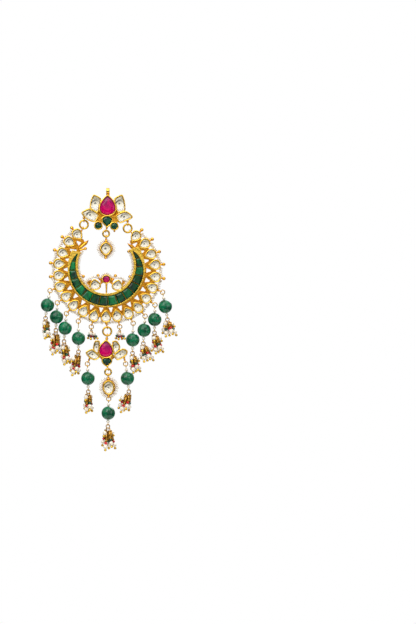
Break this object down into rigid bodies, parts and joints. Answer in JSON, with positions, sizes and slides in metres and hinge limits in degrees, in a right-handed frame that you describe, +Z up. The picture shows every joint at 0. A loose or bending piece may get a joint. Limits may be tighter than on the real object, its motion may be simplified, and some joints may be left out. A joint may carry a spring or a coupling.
{
  "type": "chandbali earring",
  "caption": "Crescent drop earring with a lotus top, a fan of clear stones, green beads, pearl tassels and a hanging pendant.",
  "frame": {"origin": "where the ear post meets the back of the top lotus, against the ear lobe", "axes": "+Z up as it hangs, -Y out of the decorated face, +X to the right of the viewer"},
  "size_m": [0.0614, 0.0143, 0.1181],
  "materials": {
    "gold": "polished yellow gold",
    "antique_gold": "antique gold with seed beads and pearls",
    "post_metal": "plain metal",
    "ruby": "polished, foil backed",
    "clear_stone": "flat cut, foil backed",
    "green_stone": "polished, foil backed",
    "green_bead": "polished",
    "pearl": "soft lustre"
  },
  "bodies": {
    "ear": {"lotus_frame": "gold", "ear_post": "post_metal", "lotus_ruby": "ruby", "lotus_petals": "clear_stone", "lotus_leaf": "green_stone", "lotus_cab_left": "green_stone", "lotus_cab_right": "green_stone", "mid_ring": "gold", "mid_frame": "gold", "mid_stone": "clear_stone"},
    "crescent": {"crescent_frame": "gold", "fan_stones": "clear_stone", "channel_stones": "green_stone", "arch_stone_left": "clear_stone", "arch_stone_right": "clear_stone", "arch_ruby": "ruby", "ring_left": "gold", "ring_right": "gold", "bead_l1": "green_bead", "bead_l2": "green_bead", "bead_l3": "green_bead", "bead_l4": "green_bead", "bead_r1": "green_bead", "bead_r2": "green_bead", "bead_r3": "green_bead", "bead_r4": "green_bead", "drop_rings": "gold", "drop_wires": "gold", "drop_pearls": "pearl", "tassel_l1": "antique_gold", "tassel_l2": "antique_gold", "tassel_l3": "antique_gold", "tassel_l4": "antique_gold", "tassel_r1": "antique_gold", "tassel_r2": "antique_gold", "tassel_r3": "antique_gold", "tassel_r4": "antique_gold", "tassel_inner_left": "antique_gold", "tassel_inner_right": "antique_gold"},
    "pendant": {"pendant_ring": "gold", "pendant_frame": "gold", "pendant_ruby": "ruby", "pendant_petals": "clear_stone", "pendant_leaf": "green_stone", "lower_ring": "gold", "halo_frame": "gold", "halo_stone": "clear_stone", "pendant_bead_left": "green_bead", "pendant_bead_right": "green_bead", "pendant_bead_bottom": "green_bead", "pendant_drop_rings": "gold", "pendant_wires": "gold", "pendant_pearls": "pearl", "tassel_pendant_left": "antique_gold", "tassel_pendant_right": "antique_gold", "tassel_bottom": "antique_gold"}
  },
  "joints": [
    {"name": "crescent_swing", "type": "hinge", "parent": "ear", "child": "crescent", "pos_m": [-0.00082, -0.0012, -0.0074], "axis": [0.9963, 0, -0.0862], "range_deg": [-45, 45]},
    {"name": "pendant_swing", "type": "hinge", "parent": "crescent", "child": "pendant", "pos_m": [-0.0002, -0.0012, -0.0545], "axis": [1, 0, 0], "range_deg": [-50, 50]}
  ]
}
